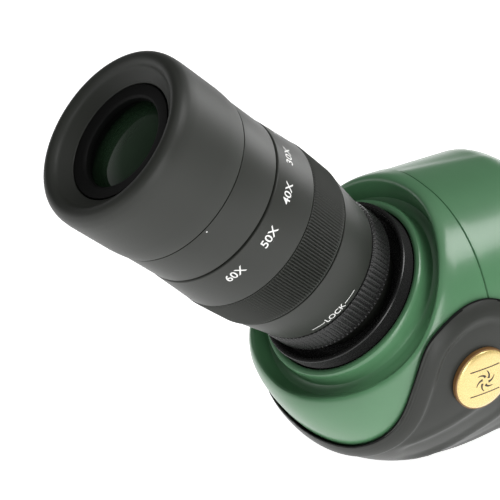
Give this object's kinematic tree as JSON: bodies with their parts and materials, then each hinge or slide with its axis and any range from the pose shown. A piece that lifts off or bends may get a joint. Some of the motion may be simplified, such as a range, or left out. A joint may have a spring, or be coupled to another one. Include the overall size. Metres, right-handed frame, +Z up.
{
  "type": "spotting scope",
  "caption": "Angled zoom spotting scope with a green prism housing in rubber armour, a twist-up eyecup, a sliding sunshade and a rotating tripod collar.",
  "frame": {"origin": "middle of the tripod foot's bottom face", "axes": "+Y forward along the optical axis to the objective, +X to the right seen from the eyepiece, +Z up"},
  "size_m": [0.1133, 0.3972, 0.2012],
  "materials": {
    "green_paint": "satin green paint",
    "dark_metal": "satin dark anodised and painted",
    "black_metal": "black, machined and anodised",
    "rubber": "smooth satin rubber",
    "armour_rubber": "moulded rubber with a soft shine",
    "badge_gold": "domed gold badge",
    "lens_glass": "coated optical glass",
    "steel": "plain steel",
    "brass": "turned brass",
    "aluminium": "turned aluminium",
    "felt": "black felt"
  },
  "bodies": {
    "foot": {"tripod_foot": "black_metal", "collar_ring": "black_metal", "collar_liner": "felt", "foot_screw_right": "steel", "foot_screw_left": "steel", "insert_quarter": "brass", "insert_three_eighths": "brass"},
    "clamp": {"clamp_knob": "black_metal", "clamp_stud": "steel"},
    "scope": {"main_body": "green_paint", "rear_cover": "green_paint", "rubber_armour": "armour_rubber", "badge_right": "badge_gold", "badge_left": "badge_gold", "port_ring": "black_metal", "prism": "lens_glass", "prism_holder": "black_metal", "prism_clip": "steel", "prism_screw_right": "steel", "prism_screw_left": "steel", "focus_bush": "brass", "focus_tube": "black_metal", "objective_barrel": "green_paint", "objective_cell": "black_metal", "objective_lens_rear": "lens_glass", "objective_lens_front": "lens_glass", "lens_spacer": "black_metal", "retaining_ring": "black_metal", "barrel_baffle": "black_metal", "shade_felt": "felt", "eyepiece_base": "dark_metal", "eyepiece_seal": "rubber", "guide_tube": "aluminium", "eye_head": "black_metal", "eye_lens": "lens_glass", "head_ring": "dark_metal"},
    "coarse_focus": {"focus_shaft": "steel", "coarse_knob": "black_metal", "coarse_grip": "rubber"},
    "fine_focus": {"fine_shaft": "steel", "fine_knob": "black_metal"},
    "focus_group": {"focus_nut": "brass", "focus_carriage": "aluminium", "focus_lens": "lens_glass", "focus_lens_ring": "black_metal"},
    "sunshade_body": {"sunshade": "green_paint", "shade_bumper": "rubber"},
    "lock": {"lock_ring": "black_metal"},
    "zoom": {"zoom_ring": "dark_metal", "zoom_grip": "rubber", "cam_sleeve": "aluminium"},
    "field_group": {"field_cell": "black_metal", "field_lens": "lens_glass"},
    "variator_group": {"variator_cell": "black_metal", "variator_lens": "lens_glass"},
    "eyecup_turn": {"eyecup_detent_ring": "aluminium"},
    "eyecup_rise": {"eyecup_sleeve": "black_metal", "eyecup": "rubber"}
  },
  "joints": [
    {"name": "collar_turn", "type": "hinge", "parent": "foot", "child": "scope", "pos_m": [0, -0.125, 0.085], "axis": [0, 1, 0], "continuous": true},
    {"name": "clamp_turn", "type": "hinge", "parent": "foot", "child": "clamp", "pos_m": [0, 0, 0.085], "axis": [-1, 0, 0], "range_deg": [-540, 0]},
    {"name": "coarse_focus_turn", "type": "hinge", "parent": "scope", "child": "coarse_focus", "pos_m": [0, -0.125, 0.1272], "axis": [0, 1, 0], "range_deg": [-271, 271]},
    {"name": "fine_focus_turn", "type": "hinge", "parent": "scope", "child": "fine_focus", "pos_m": [0, -0.125, 0.1272], "axis": [0, 1, 0], "range_deg": [-1084, 1084]},
    {"name": "focus_slide", "type": "slide", "parent": "scope", "child": "focus_group", "axis": [0, 1, 0], "range_m": [-0.007, 0.007]},
    {"name": "sunshade_slide", "type": "slide", "parent": "scope", "child": "sunshade_body", "axis": [0, 1, 0], "range_m": [0, 0.045]},
    {"name": "lock_turn", "type": "hinge", "parent": "scope", "child": "lock", "pos_m": [0, -0.125, 0.085], "axis": [0, -0.7071, 0.7071], "range_deg": [-30, 0]},
    {"name": "zoom_turn", "type": "hinge", "parent": "scope", "child": "zoom", "pos_m": [0, -0.125, 0.085], "axis": [0, -0.7071, 0.7071], "range_deg": [-102, 13]},
    {"name": "field_slide", "type": "slide", "parent": "scope", "child": "field_group", "axis": [0, -0.7071, 0.7071], "range_m": [-0.0092, 0.0013]},
    {"name": "variator_slide", "type": "slide", "parent": "scope", "child": "variator_group", "axis": [0, -0.7071, 0.7071], "range_m": [-0.0012, 0.0082]},
    {"name": "eyecup_twist", "type": "hinge", "parent": "scope", "child": "eyecup_turn", "pos_m": [0, -0.125, 0.085], "axis": [0, -0.7071, 0.7071], "range_deg": [0, 100]},
    {"name": "eyecup_slide", "type": "slide", "parent": "eyecup_turn", "child": "eyecup_rise", "axis": [0, -0.7071, 0.7071], "range_m": [-0.0001, 0.0101]}
  ],
  "couplings": [
    {"joint": "coarse_focus_turn", "follows": "focus_slide", "rad_per_m": 673.2},
    {"joint": "fine_focus_turn", "follows": "focus_slide", "rad_per_m": 2692.8},
    {"joint": "field_slide", "follows": "zoom_turn", "m_per_rad": 0.0050555},
    {"joint": "variator_slide", "follows": "zoom_turn", "m_per_rad": -0.0044938},
    {"joint": "eyecup_slide", "follows": "eyecup_twist", "m_per_rad": 0.0057296}
  ]
}
